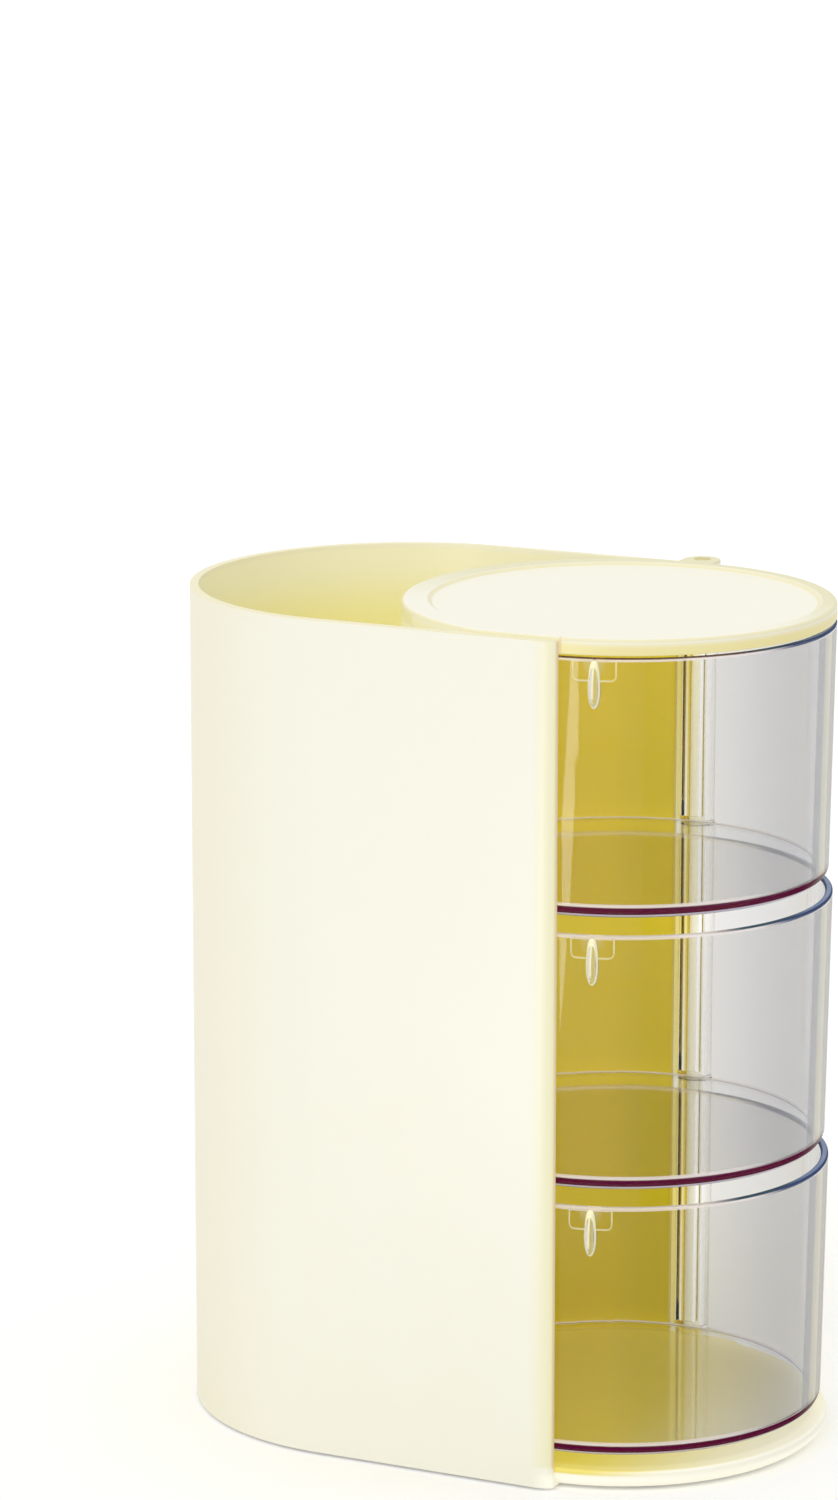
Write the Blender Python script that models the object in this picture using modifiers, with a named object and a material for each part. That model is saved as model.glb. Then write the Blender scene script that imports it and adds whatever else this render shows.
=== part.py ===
"""Hair accessory organizer.

A tall brush pocket stands beside a stack of three clear round trays. Each tray has a
full-height hinge knuckle, and the three knuckles turn on one upright rod that is held
between a boss of the housing's base and an ear of the top cover.

Lengths are in metres and +Z is up. The world origin is the centre of the footprint, on
the surface that the feet stand on. Shapes are drawn round the trays' common axis, the
bay axis, and then placed by their objects' locations.
"""

import math

import bmesh
import bpy
from mathutils import Matrix, Vector

MM = 0.001

# Trays
TRAY_RADIUS = 52.0 * MM          # outside of the rim
TRAY_DRAFT = 1.1 * MM            # the wall draws in this much from the rim to the bottom corner
TRAY_HEIGHT = 63.6 * MM
TRAY_SPACE = 3.9 * MM            # from a rim to the tray above it
TRAY_WALL = 1.8 * MM
TRAY_FLOOR = 1.8 * MM
TRAY_CORNER = 2.5 * MM           # bottom corner, outside
TRAY_INNER_CORNER = 1.2 * MM
TRAY_RIM_ROUND = 0.5 * MM
TRAY_COUNT = 3

# Finger pull on each tray, and the raised land that it stands on
PULL_ANGLE = math.radians(-74.6)
PULL_HEIGHT = 12.0 * MM
PULL_WIDTH = 3.3 * MM
PULL_REACH = 4.2 * MM            # how far it stands out of the wall
PULL_DROP = 0.4 * MM             # its top below the rim
PULL_TOP_SHARE = 0.45            # width of its top as a share of its full width
LAND_WIDTH = 10.6 * MM
LAND_DEPTH = 5.6 * MM            # down from the rim
LAND_RISE = 0.4 * MM             # proud of the wall
LAND_ROUND = 1.5 * MM            # its two lower corners

# Hinge
PIVOT_X = -2.5 * MM
KNUCKLE_RADIUS = 4.6 * MM
KNUCKLE_TUCK = 0.2 * MM          # how deep a knuckle sinks into the line of its tray's rim
KNUCKLE_RISE = 2.1 * MM          # above the rim of its tray
KNUCKLE_GAP = 0.3 * MM           # between knuckles, and to the boss and the ear
WEB_WIDTH = 6.0 * MM
WEB_BITE = 0.6 * MM              # how deep a web sinks into the tray's wall
ROD_RADIUS = 2.0 * MM
ROD_HEAD_RADIUS = 3.0 * MM
ROD_HEAD_HEIGHT = 1.3 * MM
ROD_TIP_CHAMFER = 0.4 * MM
ROD_SINK = 0.6 * MM              # tip below the top of the ear
BORE_CLEARANCE = 0.2 * MM        # rod to knuckle, boss and ear

# Housing
SIDE_GAP = 0.5 * MM              # tray rim to the bay's wall
WALL = 2.2 * MM
PARTITION = 1.9 * MM
POCKET_DEPTH = 56.1 * MM         # from the partition to the round end, in the middle
FRONT_END = 5.6 * MM             # end of the front wall past the bay axis
REAR_END_GAP = 0.5 * MM          # end of the rear wall to the knuckles
NOSE_LENGTH = 4.5 * MM           # the front wall's end, rounded along the wall
NOSE_DEPTH = 2.0 * MM            # and across it
REAR_NOSE = 1.0 * MM
FLANGE_REACH = 0.6 * MM          # the base under the trays stands out past their rims
BASE = 5.0 * MM                  # thickness of the base under the trays
ROOT_STEP = 0.6 * MM             # the hinge boss's root stands out this far round the boss
ROOT_SPREAD = math.radians(20.0)
POCKET_FLOOR = 2.5 * MM
POCKET_CORNER = 1.5 * MM         # where the partition meets the side walls
FLANGE_FILLET = 4.0 * MM         # lower edge of the base under the trays
FLANGE_ROUND = 0.8 * MM          # its upper edge
TRAY_LIFT = 3.0 * MM             # base to the lowest tray's underside
WALL_DROP = 0.6 * MM             # top of the walls below the top of the cover

# Top cover
COVER_HEIGHT = 4.0 * MM
COVER_PLATE = 1.6 * MM
COVER_GAP = 0.6 * MM             # over the top tray's rim
COVER_SKIRT = 1.5 * MM           # thickness of the free edge
RECESS_RADIUS = 48.0 * MM        # the round flat inside the raised rim
BEAD_SLOPE = 0.8 * MM            # the rim's inner side leans out this much
BEAD_HEIGHT = 0.8 * MM
BEAD_ROUND = 0.7 * MM
LAP = 0.9 * MM                   # thickness of the partition's upstand inside the cover
EAR_HEIGHT = 2.2 * MM

# Feet
FOOT_RADIUS = 6.0 * MM
FOOT_STAND = 0.8 * MM            # how far the feet lift the base
FOOT_SINK = 1.0 * MM             # depth of their recesses
FOOT_ROUND = 0.3 * MM
FOOT_INSET = 14.0 * MM           # foot centre in from the edge of the base
FOOT_ANGLES = (math.radians(125.0), math.radians(58.0))

SEAT_GAP = 0.3 * MM              # between pieces that rest on or in one another
OVERRUN = 2.0 * MM               # cutters past the faces that they cut
ARC_STEPS = 72                   # facets to a full turn on large rounds
SMALL_STEPS = 32                 # and on small ones
CORNER_STEPS = 4                 # facets to a quarter turn of a rounded corner
MERGE = 0.003 * MM               # points closer than this become one
SHARP_ANGLE = math.radians(35.0)
EDGE_ANGLE = math.radians(60.0)  # edges at least this sharp get rounded
BEAD_STEPS = 2
PULL_STEPS = (16, 12)            # facets round the pull and from end to end

# Sizes that follow
TRAY_FOOT_RADIUS = TRAY_RADIUS - TRAY_DRAFT
TRAY_PITCH = TRAY_HEIGHT + TRAY_SPACE
FLANGE_RADIUS = TRAY_RADIUS + FLANGE_REACH
ROUND_OFFSET = POCKET_DEPTH + PARTITION
PIVOT_REACH = TRAY_RADIUS + KNUCKLE_RADIUS - KNUCKLE_TUCK
PIVOT_Y = math.sqrt(PIVOT_REACH ** 2 - PIVOT_X ** 2)
PIVOT_ANGLE = math.atan2(PIVOT_Y, PIVOT_X)
HALF_INNER = TRAY_RADIUS + SIDE_GAP
HALF_OUTER = HALF_INNER + WALL
PARTITION_RADIUS = HALF_INNER + PARTITION
REAR_END = PIVOT_X - KNUCKLE_RADIUS - REAR_END_GAP
BORE_RADIUS = ROD_RADIUS + BORE_CLEARANCE
BASE_TOP = FOOT_STAND + BASE
FLOOR_TOP = FOOT_STAND + POCKET_FLOOR
LOWEST_TRAY = BASE_TOP + TRAY_LIFT
KNUCKLE_DROP = TRAY_SPACE - KNUCKLE_RISE - KNUCKLE_GAP
BOSS_TOP = LOWEST_TRAY - KNUCKLE_DROP - KNUCKLE_GAP
TOP_RIM = LOWEST_TRAY + (TRAY_COUNT - 1) * TRAY_PITCH + TRAY_HEIGHT
COVER_BOTTOM = TOP_RIM + COVER_GAP
TOP = COVER_BOTTOM + COVER_HEIGHT
WALL_TOP = TOP - WALL_DROP
PLATE_TOP = TOP - BEAD_HEIGHT
PLATE_BOTTOM = PLATE_TOP - COVER_PLATE
EAR_BOTTOM = TOP - EAR_HEIGHT

# The footprint's centre is the world origin
BAY_X = (ROUND_OFFSET + HALF_OUTER - FLANGE_RADIUS) / 2
BAY_Y = (HALF_OUTER - PIVOT_Y - KNUCKLE_RADIUS - ROOT_STEP) / 2

CREAM = (0.955, 0.925, 0.80)
CLEAR = (0.80, 0.82, 0.84)
RUBBER = (0.82, 0.80, 0.74)


def clear_scene():
    for old in list(bpy.data.objects):
        bpy.data.objects.remove(old)


def new_collection(name):
    group = bpy.data.collections.new(name)
    bpy.context.scene.collection.children.link(group)
    return group


def plastic(name, colour, roughness, alpha=1.0):
    material = bpy.data.materials.new(name)
    material.use_nodes = True
    shader = material.node_tree.nodes["Principled BSDF"]
    shader.inputs["Base Color"].default_value = (*colour, 1.0)
    shader.inputs["Roughness"].default_value = roughness
    shader.inputs["Metallic"].default_value = 0.0
    shader.inputs["Alpha"].default_value = alpha
    return material


def arc(centre, radius, start, end, steps):
    """Points on an arc, both ends included, from angle start to angle end."""
    points = []
    for i in range(steps + 1):
        angle = start + (end - start) * i / steps
        points.append((centre[0] + radius * math.cos(angle), centre[1] + radius * math.sin(angle)))
    return points


def facets(start, end, full=ARC_STEPS):
    """How many facets an arc gets when a full turn has the given number."""
    return max(1, round(abs(end - start) / math.tau * full))


def turn(centre, radius, start, end, full=ARC_STEPS):
    return arc(centre, radius, start, end, facets(start, end, full))


def add_object(name, mesh, group):
    item = bpy.data.objects.new(name, mesh)
    group.objects.link(item)
    return item


def evaluated_mesh(item):
    bpy.context.view_layer.update()
    graph = bpy.context.evaluated_depsgraph_get()
    return bpy.data.meshes.new_from_object(item.evaluated_get(graph))


def slab(name, outline, low, high, group):
    """A flat outline given height, as a welded mesh."""
    curve = bpy.data.curves.new(name, "CURVE")
    curve.dimensions = "2D"
    curve.fill_mode = "BOTH"
    curve.extrude = (high - low) / 2
    spline = curve.splines.new("POLY")
    spline.points.add(len(outline) - 1)
    for point, (x, y) in zip(spline.points, outline):
        point.co = (x, y, 0.0, 1.0)
    spline.use_cyclic_u = True
    flat = add_object(name, curve, group)
    mesh = evaluated_mesh(flat)
    bpy.data.objects.remove(flat)
    weld(mesh)
    for vertex in mesh.vertices:
        vertex.co.z = high if vertex.co.z > 0.0 else low
    return add_object(name, mesh, group)


def weld(mesh):
    shape = bmesh.new()
    shape.from_mesh(mesh)
    bmesh.ops.remove_doubles(shape, verts=shape.verts, dist=MERGE)
    shape.to_mesh(mesh)
    shape.free()


def turned(name, profile, steps, group, centre=(0.0, 0.0)):
    """A turned solid: the profile runs from the axis, up and over, down its outer side, to the axis."""
    mesh = bpy.data.meshes.new(name)
    edges = [(i, i + 1) for i in range(len(profile) - 1)]
    mesh.from_pydata([(x, 0.0, z) for x, z in profile], edges, [])
    item = add_object(name, mesh, group)
    screw = item.modifiers.new("Turn", "SCREW")
    screw.steps = steps
    screw.render_steps = steps
    screw.use_merge_vertices = True
    screw.merge_threshold = MERGE
    screw.use_smooth_shade = True
    solid = evaluated_mesh(item)
    bpy.data.objects.remove(item)
    solid.transform(Matrix.Translation((*centre, 0.0)))
    return add_object(name, solid, group)


def cylinder(name, centre, radius, low, high, group, steps=SMALL_STEPS):
    return turned(name, [(0.0, high), (radius, high), (radius, low), (0.0, low)], steps, group, centre)


def combine(target, tool, operation):
    step = target.modifiers.new(tool.name, "BOOLEAN")
    step.operation = operation
    step.solver = "EXACT"
    step.object = tool
    tool.hide_render = True
    tool.display_type = "WIRE"


def join(target, *tools):
    for tool in tools:
        combine(target, tool, "UNION")


def cut(target, *tools):
    for tool in tools:
        combine(target, tool, "DIFFERENCE")


def use_manifold(item):
    """For shapes that share many planes, where the exact solver leaves cracks."""
    for step in item.modifiers:
        if step.type == "BOOLEAN":
            step.solver = "MANIFOLD"


def bevel(item, width, segments):
    step = item.modifiers.new("Round", "BEVEL")
    step.width = width
    step.segments = segments
    step.limit_method = "ANGLE"
    step.angle_limit = EDGE_ANGLE


def finish(source, name, material, group, location):
    """Apply a shape's steps, shade it, and place it as one named part."""
    mesh = evaluated_mesh(source)
    mesh.name = name
    mesh.shade_smooth()
    mesh.set_sharp_from_angle(angle=SHARP_ANGLE)
    mesh.materials.clear()
    mesh.materials.append(material)
    bpy.data.objects.remove(source)
    part = add_object(name, mesh, group)
    part.location = location
    return part


def radial_box(name, centre_angle, near, far, width, low, high, group):
    """A box that lies along a radius of the bay axis."""
    along = Vector((math.cos(centre_angle), math.sin(centre_angle)))
    across = Vector((-along.y, along.x)) * (width / 2)
    corners = (along * near - across, along * far - across, along * far + across, along * near + across)
    return slab(name, [tuple(corner) for corner in corners], low, high, group)


def housing_outline():
    """Round end, two side walls with rounded ends, and a step between them under the trays."""
    rear = turn((REAR_END - REAR_NOSE, HALF_OUTER - REAR_NOSE), REAR_NOSE, 0.0, math.pi / 2, SMALL_STEPS)
    left = turn((-ROUND_OFFSET, 0.0), HALF_OUTER, math.pi / 2, 1.5 * math.pi)
    nose = []
    for x, y in turn((0.0, 0.0), 1.0, -math.pi / 2, 0.0, SMALL_STEPS):
        nose.append((FRONT_END - NOSE_LENGTH * (1.0 - x), NOSE_DEPTH * (1.0 + y) - HALF_OUTER))
    return rear + left + nose + [(FRONT_END, 0.0), (REAR_END, 0.0)]


def bay_outline():
    """The space for the trays, open to the right."""
    right = FRONT_END + OVERRUN
    left = turn((0.0, 0.0), HALF_INNER, math.pi / 2, 1.5 * math.pi)
    return left + [(right, -HALF_INNER), (right, HALF_INNER)]


def pocket_outline():
    """The brush pocket: a round end, two straight sides and the hollow curve of the partition."""
    reach = PARTITION_RADIUS + POCKET_CORNER
    side = HALF_INNER - POCKET_CORNER
    corner_x = -math.sqrt(reach * reach - side * side)
    lean = math.atan2(side, -corner_x)
    left = turn((-ROUND_OFFSET, 0.0), HALF_INNER, math.pi / 2, 1.5 * math.pi)
    front = turn((corner_x, -side), POCKET_CORNER, -math.pi / 2, lean, SMALL_STEPS)
    middle = turn((0.0, 0.0), PARTITION_RADIUS, math.pi + lean, math.pi - lean)
    rear = turn((corner_x, side), POCKET_CORNER, -lean, math.pi / 2, SMALL_STEPS)
    return left + front + middle[1:-1] + rear


def partition_arc(radius, side):
    """An arc round the bay axis on the pocket's side, out to y = side behind and in front."""
    start = math.pi - math.asin(side / radius)
    return turn((0.0, 0.0), radius, start, math.tau - start)


def seat_outline():
    """Over the whole partition, between the side walls."""
    side = TRAY_RADIUS + SEAT_GAP
    return partition_arc(PARTITION_RADIUS + POCKET_CORNER, side) + [(0.0, -side), (0.0, side)]


def ledge_outline():
    """The same, but for the partition's upstand, which reaches up inside the cover's free edge."""
    side = TRAY_RADIUS + SEAT_GAP
    inner_side = TRAY_RADIUS - COVER_SKIRT - SEAT_GAP
    far = partition_arc(PARTITION_RADIUS + POCKET_CORNER, side)
    near = partition_arc(HALF_INNER + LAP, inner_side)
    return far + [(0.0, -side), (0.0, -inner_side)] + near[::-1] + [(0.0, inner_side), (0.0, side)]


def cover_outline(inset, left_radius):
    """The cover seen from above: a half circle over the open side, a wider arc over the partition."""
    radius = TRAY_RADIUS - inset
    return turn((0.0, 0.0), radius, -math.pi / 2, math.pi / 2) + partition_arc(left_radius, radius)


def touch_angle(radius, tip, side):
    """Where on a circle round the pivot the tangent from a tip lands; side is 1 or -1."""
    x = tip[0] - PIVOT_X
    y = tip[1] - PIVOT_Y
    return math.atan2(y, x) % math.tau + side * math.acos(radius / math.hypot(x, y))


def polar(radius, angle):
    return (radius * math.cos(angle), radius * math.sin(angle))


def root_outline():
    """The boss's root in the base: round behind, with tangent lines into the wall and the flange."""
    radius = KNUCKLE_RADIUS + ROOT_STEP
    left_tip = (REAR_END - 2 * KNUCKLE_RADIUS, HALF_OUTER - WALL / 2)
    right_tip = polar(FLANGE_RADIUS - WALL / 2, PIVOT_ANGLE - ROOT_SPREAD)
    inner = FLANGE_RADIUS - FLANGE_FILLET - OVERRUN
    right_touch = touch_angle(radius, right_tip, 1)
    left_touch = touch_angle(radius, left_tip, -1)
    back = turn((PIVOT_X, PIVOT_Y), radius, right_touch % math.tau, left_touch, SMALL_STEPS)
    inside = [left_tip, polar(inner, PIVOT_ANGLE + ROOT_SPREAD), polar(inner, PIVOT_ANGLE - ROOT_SPREAD)]
    return [right_tip] + back + inside


def foot_places():
    front_left, front_right = FOOT_ANGLES
    places = []
    for side in (-1, 1):
        reach = HALF_OUTER - FOOT_INSET
        places.append((-ROUND_OFFSET + reach * math.cos(front_left), side * reach * math.sin(front_left)))
        reach = FLANGE_RADIUS - FOOT_INSET
        places.append((reach * math.cos(front_right), side * reach * math.sin(front_right)))
    return places


def make_base_hollow(tools):
    """The base under the trays is hollow, as thick as the pocket's floor, but for the foot bosses."""
    low = FOOT_STAND - OVERRUN
    high = BASE_TOP - POCKET_FLOOR
    radius = FLANGE_RADIUS - FLANGE_FILLET - WALL
    boss_radius = FOOT_RADIUS + SEAT_GAP + WALL
    hollow = cylinder("base_hollow", (0.0, 0.0), radius, low, high, tools, ARC_STEPS)
    for i, place in enumerate(foot_places()):
        cut(hollow, cylinder(f"foot_boss_{i}", place, boss_radius, low - OVERRUN, high + OVERRUN, tools))
    use_manifold(hollow)
    return hollow


def make_housing(tools):
    body = slab("housing_block", housing_outline(), FOOT_STAND, WALL_TOP, tools)
    cut(body, slab("bay_cutter", bay_outline(), BASE_TOP, TOP + OVERRUN, tools))
    cut(body, slab("pocket_cutter", pocket_outline(), FLOOR_TOP, TOP + OVERRUN, tools))
    cut(body, slab("ledge_cutter", ledge_outline(), COVER_BOTTOM - SEAT_GAP, TOP + OVERRUN, tools))
    cut(body, slab("seat_cutter", seat_outline(), PLATE_BOTTOM - SEAT_GAP, TOP + OVERRUN, tools))

    low = FOOT_STAND
    lower_edge = arc((FLANGE_RADIUS - FLANGE_FILLET, low + FLANGE_FILLET), FLANGE_FILLET, 0.0, -math.pi / 2,
                     CORNER_STEPS)
    upper_edge = arc((FLANGE_RADIUS - FLANGE_ROUND, BASE_TOP - FLANGE_ROUND), FLANGE_ROUND, math.pi / 2,
                     0.0, CORNER_STEPS)
    flange_profile = [(0.0, BASE_TOP)] + upper_edge + lower_edge + [(0.0, low)]
    flange = turned("flange", flange_profile, ARC_STEPS, tools)
    boss = cylinder("hinge_boss", (PIVOT_X, PIVOT_Y), KNUCKLE_RADIUS, BASE_TOP - OVERRUN, BOSS_TOP, tools)
    root = slab("boss_root", root_outline(), low, BASE_TOP, tools)
    join(body, flange, root, boss)

    head_room = ROD_HEAD_HEIGHT + 2 * SEAT_GAP
    cut(body, cylinder("rod_hole", (PIVOT_X, PIVOT_Y), BORE_RADIUS, low - OVERRUN, TOP, tools))
    cut(body, cylinder("rod_head_room", (PIVOT_X, PIVOT_Y), ROD_HEAD_RADIUS + SEAT_GAP, low - OVERRUN,
                       low + head_room, tools))
    cut(body, make_base_hollow(tools))
    recess_radius = FOOT_RADIUS + SEAT_GAP
    for i, place in enumerate(foot_places()):
        cut(body, cylinder(f"foot_recess_{i}", place, recess_radius, low - OVERRUN, low + FOOT_SINK, tools))
    use_manifold(body)
    return body


def make_cover(tools):
    body = slab("cover_block", cover_outline(0.0, PARTITION_RADIUS), COVER_BOTTOM, TOP, tools)
    bevel(body, BEAD_ROUND, BEAD_STEPS)
    wide = RECESS_RADIUS + BEAD_SLOPE
    high = TOP + OVERRUN
    recess = [(0.0, high), (wide, high), (wide, TOP), (RECESS_RADIUS, PLATE_TOP), (0.0, PLATE_TOP)]
    cut(body, turned("cover_recess", recess, ARC_STEPS, tools))
    ear = cylinder("ear", (PIVOT_X, PIVOT_Y), KNUCKLE_RADIUS, EAR_BOTTOM, TOP, tools)
    neck = radial_box("ear_neck", PIVOT_ANGLE, (RECESS_RADIUS + TRAY_RADIUS) / 2, PIVOT_REACH,
                      2 * KNUCKLE_RADIUS, EAR_BOTTOM, TOP, tools)
    join(body, ear, neck)
    under = cover_outline(COVER_SKIRT, HALF_INNER + LAP + SEAT_GAP)
    cut(body, slab("cover_hollow", under, COVER_BOTTOM - OVERRUN, PLATE_BOTTOM, tools))
    cut(body, cylinder("knuckle_room", (PIVOT_X, PIVOT_Y), KNUCKLE_RADIUS + KNUCKLE_GAP,
                       COVER_BOTTOM - OVERRUN, EAR_BOTTOM, tools))
    cut(body, cylinder("ear_hole", (PIVOT_X, PIVOT_Y), BORE_RADIUS, COVER_BOTTOM, TOP + OVERRUN, tools))
    use_manifold(body)
    return body


def tray_profile():
    """Half section of a cup, from the floor's middle up the inside, over the rim, down and under."""
    foot_inner = TRAY_FOOT_RADIUS - TRAY_WALL
    rim_inner = TRAY_RADIUS - TRAY_WALL
    inside = arc((foot_inner - TRAY_INNER_CORNER, TRAY_FLOOR + TRAY_INNER_CORNER), TRAY_INNER_CORNER,
                 -math.pi / 2, 0.0, CORNER_STEPS)
    lip_in = arc((rim_inner + TRAY_RIM_ROUND, TRAY_HEIGHT - TRAY_RIM_ROUND), TRAY_RIM_ROUND, math.pi,
                 math.pi / 2, CORNER_STEPS // 2)
    lip_out = arc((TRAY_RADIUS - TRAY_RIM_ROUND, TRAY_HEIGHT - TRAY_RIM_ROUND), TRAY_RIM_ROUND, math.pi / 2,
                  0.0, CORNER_STEPS // 2)
    corner = arc((TRAY_FOOT_RADIUS - TRAY_CORNER, TRAY_CORNER), TRAY_CORNER, 0.0, -math.pi / 2,
                 CORNER_STEPS)
    return [(0.0, TRAY_FLOOR)] + inside + lip_in + lip_out + corner + [(0.0, 0.0)]


def make_pull(tools):
    """A slim drop-shaped grip: full and round at the bottom, narrow under the rim."""
    shape = bmesh.new()
    around, lengthwise = PULL_STEPS
    bmesh.ops.create_uvsphere(shape, u_segments=around, v_segments=lengthwise, radius=1.0)
    along = Vector((math.cos(PULL_ANGLE), math.sin(PULL_ANGLE), 0.0))
    across = Vector((-along.y, along.x, 0.0))
    middle = TRAY_HEIGHT - PULL_DROP - PULL_HEIGHT / 2
    wall_radius = TRAY_RADIUS - TRAY_WALL / 2
    reach = PULL_REACH + TRAY_WALL / 2
    for vertex in shape.verts:
        out, side, up = vertex.co
        slim = 1.0 - (1.0 - PULL_TOP_SHARE) * (up + 1.0) / 2
        place = along * (wall_radius + max(out, 0.0) * reach * slim)
        place = place + across * (side * PULL_WIDTH / 2 * slim)
        vertex.co = place + Vector((0.0, 0.0, middle + up * PULL_HEIGHT / 2))
    bmesh.ops.remove_doubles(shape, verts=shape.verts, dist=MERGE)
    mesh = bpy.data.meshes.new("pull")
    shape.to_mesh(mesh)
    shape.free()
    return add_object("pull", mesh, tools)


def make_land(tools):
    """A slightly raised panel on the wall, open to the rim, with two rounded lower corners."""
    half = LAND_WIDTH / 2
    low = TRAY_HEIGHT - LAND_DEPTH
    left = arc((LAND_ROUND - half, low + LAND_ROUND), LAND_ROUND, math.pi, 1.5 * math.pi, CORNER_STEPS)
    right = arc((half - LAND_ROUND, low + LAND_ROUND), LAND_ROUND, -math.pi / 2, 0.0, CORNER_STEPS)
    top = TRAY_HEIGHT - TRAY_RIM_ROUND
    outline = [(-half, top)] + left + right + [(half, top)]
    panel = slab("land_panel", outline, 0.0, TRAY_RADIUS + OVERRUN, tools)
    across = Matrix.Rotation(PULL_ANGLE + math.pi / 2, 4, "Z") @ Matrix.Rotation(math.pi / 2, 4, "X")
    panel.data.transform(across)
    foot = TRAY_FOOT_RADIUS + LAND_RISE
    rim = TRAY_RADIUS + LAND_RISE
    back = TRAY_FOOT_RADIUS - TRAY_WALL / 2
    profile = [(back, TRAY_HEIGHT), (rim, TRAY_HEIGHT), (foot, TRAY_CORNER), (back, TRAY_CORNER)]
    skin = turned("land_skin", profile + profile[:1], ARC_STEPS, tools)
    combine(skin, panel, "INTERSECT")
    return skin


def make_tray(tools):
    body = turned("tray_cup", tray_profile(), ARC_STEPS, tools)
    knuckle = cylinder("knuckle", (PIVOT_X, PIVOT_Y), KNUCKLE_RADIUS, -KNUCKLE_DROP,
                       TRAY_HEIGHT + KNUCKLE_RISE, tools)
    web = radial_box("web", PIVOT_ANGLE, TRAY_FOOT_RADIUS - WEB_BITE, PIVOT_REACH, WEB_WIDTH, TRAY_CORNER,
                     TRAY_HEIGHT - TRAY_RIM_ROUND, tools)
    join(body, knuckle, web, make_land(tools), make_pull(tools))
    cut(body, cylinder("knuckle_bore", (PIVOT_X, PIVOT_Y), BORE_RADIUS, -KNUCKLE_DROP - OVERRUN,
                       TRAY_HEIGHT + KNUCKLE_RISE + OVERRUN, tools))
    return body


def make_rod(tools):
    head_low = FOOT_STAND + SEAT_GAP
    head_top = head_low + ROD_HEAD_HEIGHT
    tip = TOP - ROD_SINK
    shank = [(0.0, tip), (ROD_RADIUS - ROD_TIP_CHAMFER, tip), (ROD_RADIUS, tip - ROD_TIP_CHAMFER),
             (ROD_RADIUS, head_top)]
    head = [(ROD_HEAD_RADIUS, head_top), (ROD_HEAD_RADIUS, head_low), (0.0, head_low)]
    return turned("rod", shank + head, SMALL_STEPS, tools)


def make_foot(tools):
    top = FOOT_STAND + FOOT_SINK - SEAT_GAP
    edge = arc((FOOT_RADIUS - FOOT_ROUND, FOOT_ROUND), FOOT_ROUND, 0.0, -math.pi / 2, CORNER_STEPS // 2)
    return turned("foot", [(0.0, top), (FOOT_RADIUS, top)] + edge + [(0.0, 0.0)], SMALL_STEPS, tools)


def main():
    clear_scene()
    parts = new_collection("hair_accessory_organizer")
    tools = new_collection("cutters")
    cream = plastic("cream_plastic", CREAM, 0.35)
    clear = plastic("clear_plastic", CLEAR, 0.05, 0.35)
    rubber = plastic("soft_rubber", RUBBER, 0.8)
    bay = (BAY_X, BAY_Y, 0.0)
    pivot = (BAY_X + PIVOT_X, BAY_Y + PIVOT_Y)

    finish(make_housing(tools), "housing", cream, parts, bay)
    finish(make_cover(tools), "top_cover", cream, parts, bay)
    finish(make_rod(tools), "hinge_rod", cream, parts, (*pivot, 0.0))

    tray = finish(make_tray(tools), "tray_bottom", clear, parts, (*pivot, LOWEST_TRAY))
    tray.data.transform(Matrix.Translation((-PIVOT_X, -PIVOT_Y, 0.0)))
    for level, name in enumerate(("tray_middle", "tray_top"), start=1):
        copy = add_object(name, tray.data, parts)
        copy.location = (*pivot, LOWEST_TRAY + level * TRAY_PITCH)

    first = None
    for i, (x, y) in enumerate(foot_places(), start=1):
        place = (BAY_X + x, BAY_Y + y, 0.0)
        if first is None:
            first = finish(make_foot(tools), f"foot_{i}", rubber, parts, place)
        else:
            add_object(f"foot_{i}", first.data, parts).location = place


main()
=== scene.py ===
"""Looks of the hair accessory organizer: moulded cream housing and cover, three clear swing-out trays.

Lengths are in metres. Shapes are drawn round the bay axis, the upright line through the middle
of the three trays, and placed with at().
"""

import math

import bmesh
import bpy
from mathutils import Matrix, Vector


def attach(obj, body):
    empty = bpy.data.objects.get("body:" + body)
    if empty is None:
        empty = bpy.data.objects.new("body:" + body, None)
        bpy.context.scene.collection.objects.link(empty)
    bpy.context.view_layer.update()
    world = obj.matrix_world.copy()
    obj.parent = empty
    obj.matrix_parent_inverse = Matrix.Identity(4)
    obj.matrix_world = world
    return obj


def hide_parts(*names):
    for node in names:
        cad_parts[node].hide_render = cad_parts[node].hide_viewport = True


MM = 0.001

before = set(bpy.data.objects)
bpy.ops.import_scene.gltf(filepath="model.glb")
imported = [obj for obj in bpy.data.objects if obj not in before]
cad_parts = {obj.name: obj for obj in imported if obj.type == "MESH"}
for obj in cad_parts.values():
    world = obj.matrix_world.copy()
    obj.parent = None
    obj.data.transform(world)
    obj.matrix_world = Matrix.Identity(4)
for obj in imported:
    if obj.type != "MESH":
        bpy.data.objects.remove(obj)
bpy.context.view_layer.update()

# Trays
TRAYS = ("tray_bottom", "tray_middle", "tray_top")
TRAY_RADIUS = 52.0 * MM          # outside of the rim
TRAY_DRAFT = 1.1 * MM            # the wall draws in this much from the rim to the foot
TRAY_HEIGHT = 63.6 * MM
TRAY_SPACE = 3.9 * MM            # from a rim to the tray above it
TRAY_WALL = 1.8 * MM
TRAY_FLOOR = 1.8 * MM
TRAY_CORNER = 2.5 * MM
TRAY_INNER_CORNER = 1.2 * MM
TRAY_RIM_ROUND = 0.55 * MM

# Finger pull, and the raised land on the wall round it
PULL_ANGLE = math.radians(-74.6)
PULL_HEIGHT = 12.4 * MM
PULL_WIDTH = 3.6 * MM
PULL_REACH = 4.2 * MM            # how far it stands out of the wall
PULL_TOP_SHARE = 0.72            # width of its top as a share of its full width
PULL_FULLNESS = 0.3              # 0 is an oval, and more fills out its upper half
PULL_TIP = 0.01                  # keeps the filling out finite at the very tip
PULL_SIDES = 32
PULL_RINGS = 24
LAND_WIDTH = 10.6 * MM
LAND_DEPTH = 5.6 * MM            # down from the rim
LAND_RISE = 0.4 * MM             # proud of the wall
LAND_ROUND = 1.5 * MM            # its two lower corners
LAND_BITE = 1.0 * MM             # how deep it starts inside the wall

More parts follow.
